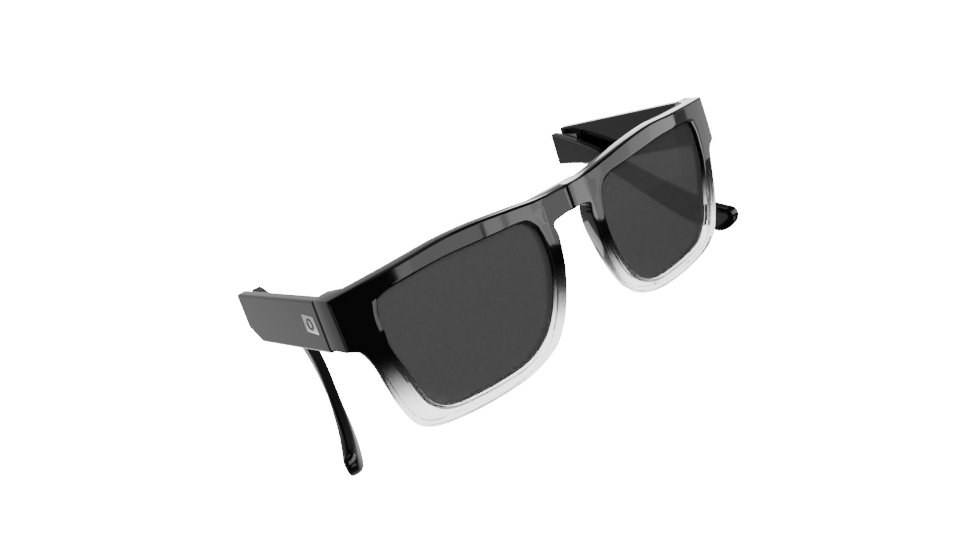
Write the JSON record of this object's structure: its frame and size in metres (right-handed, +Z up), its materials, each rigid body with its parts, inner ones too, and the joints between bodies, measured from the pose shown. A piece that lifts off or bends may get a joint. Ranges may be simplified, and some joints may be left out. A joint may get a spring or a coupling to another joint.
{
  "type": "folding sunglasses",
  "caption": "Folding sunglasses with square lenses, a hinge behind the bridge and temples that close and fold in half.",
  "frame": {"origin": "middle of the bounding box's base, at the level of the lowest points, the ends of the temples", "axes": "+X towards the wearer's left, +Y backwards from the lenses along the temples, +Z up"},
  "size_m": [0.1566, 0.0692, 0.047],
  "materials": {
    "frame_black": "polished moulded plastic, black above fading to clear below",
    "lens_grey": "dark neutral grey tinted lens",
    "hinge_steel": "satin stamped steel",
    "plaque_steel": "satin plate let into the temple"
  },
  "bodies": {
    "bridge": {"bridge_link": "hinge_steel", "bridge_pin_left": "hinge_steel", "bridge_pin_right": "hinge_steel"},
    "front_left": {"rim_left": "frame_black", "lens_left": "lens_grey", "bridge_leaf_left": "hinge_steel", "bridge_screw_inner_left": "hinge_steel", "bridge_screw_outer_left": "hinge_steel", "front_leaf_left": "hinge_steel", "front_screw_lower_left": "hinge_steel", "front_screw_upper_left": "hinge_steel"},
    "temple_left": {"temple_left": "frame_black", "plaque_left": "plaque_steel", "rear_leaf_left": "hinge_steel", "temple_pin_left": "hinge_steel", "rear_screw_front_left": "hinge_steel", "rear_screw_back_left": "hinge_steel", "fold_leaf_front_left": "hinge_steel", "fold_pin_left": "hinge_steel", "fold_screw_front_near_left": "hinge_steel", "fold_screw_front_far_left": "hinge_steel"},
    "tip_left": {"temple_tip_left": "frame_black", "fold_leaf_rear_left": "hinge_steel", "fold_screw_rear_near_left": "hinge_steel", "fold_screw_rear_far_left": "hinge_steel"},
    "front_right": {"rim_right": "frame_black", "lens_right": "lens_grey", "bridge_leaf_right": "hinge_steel", "bridge_screw_inner_right": "hinge_steel", "bridge_screw_outer_right": "hinge_steel", "front_leaf_right": "hinge_steel", "front_screw_lower_right": "hinge_steel", "front_screw_upper_right": "hinge_steel"},
    "temple_right": {"temple_right": "frame_black", "plaque_right": "plaque_steel", "rear_leaf_right": "hinge_steel", "temple_pin_right": "hinge_steel", "rear_screw_front_right": "hinge_steel", "rear_screw_back_right": "hinge_steel", "fold_leaf_front_right": "hinge_steel", "fold_pin_right": "hinge_steel", "fold_screw_front_near_right": "hinge_steel", "fold_screw_front_far_right": "hinge_steel"},
    "tip_right": {"temple_tip_right": "frame_black", "fold_leaf_rear_right": "hinge_steel", "fold_screw_rear_near_right": "hinge_steel", "fold_screw_rear_far_right": "hinge_steel"}
  },
  "joints": [
    {"name": "bridge_hinge_left", "type": "hinge", "parent": "bridge", "child": "front_left", "pos_m": [0.00995, -0.02725, 0.04077], "axis": [0, 0, 1], "range_deg": [0, 72]},
    {"name": "temple_hinge_left", "type": "hinge", "parent": "front_left", "child": "temple_left", "pos_m": [0.06825, -0.01585, 0.03737], "axis": [0, 0, 1], "range_deg": [0, 91]},
    {"name": "temple_fold_left", "type": "hinge", "parent": "temple_left", "child": "tip_left", "pos_m": [0.06375, 0.03345, 0.03437], "axis": [0, 0, 1], "range_deg": [-176.5, 4.5]},
    {"name": "bridge_hinge_right", "type": "hinge", "parent": "bridge", "child": "front_right", "pos_m": [-0.00665, -0.02725, 0.04077], "axis": [0, 0, -1], "range_deg": [0, 72]},
    {"name": "temple_hinge_right", "type": "hinge", "parent": "front_right", "child": "temple_right", "pos_m": [-0.06495, -0.01585, 0.03737], "axis": [0, 0, -1], "range_deg": [0, 91]},
    {"name": "temple_fold_right", "type": "hinge", "parent": "temple_right", "child": "tip_right", "pos_m": [-0.06044, 0.03345, 0.03437], "axis": [0, 0, -1], "range_deg": [-180, 1]}
  ]
}
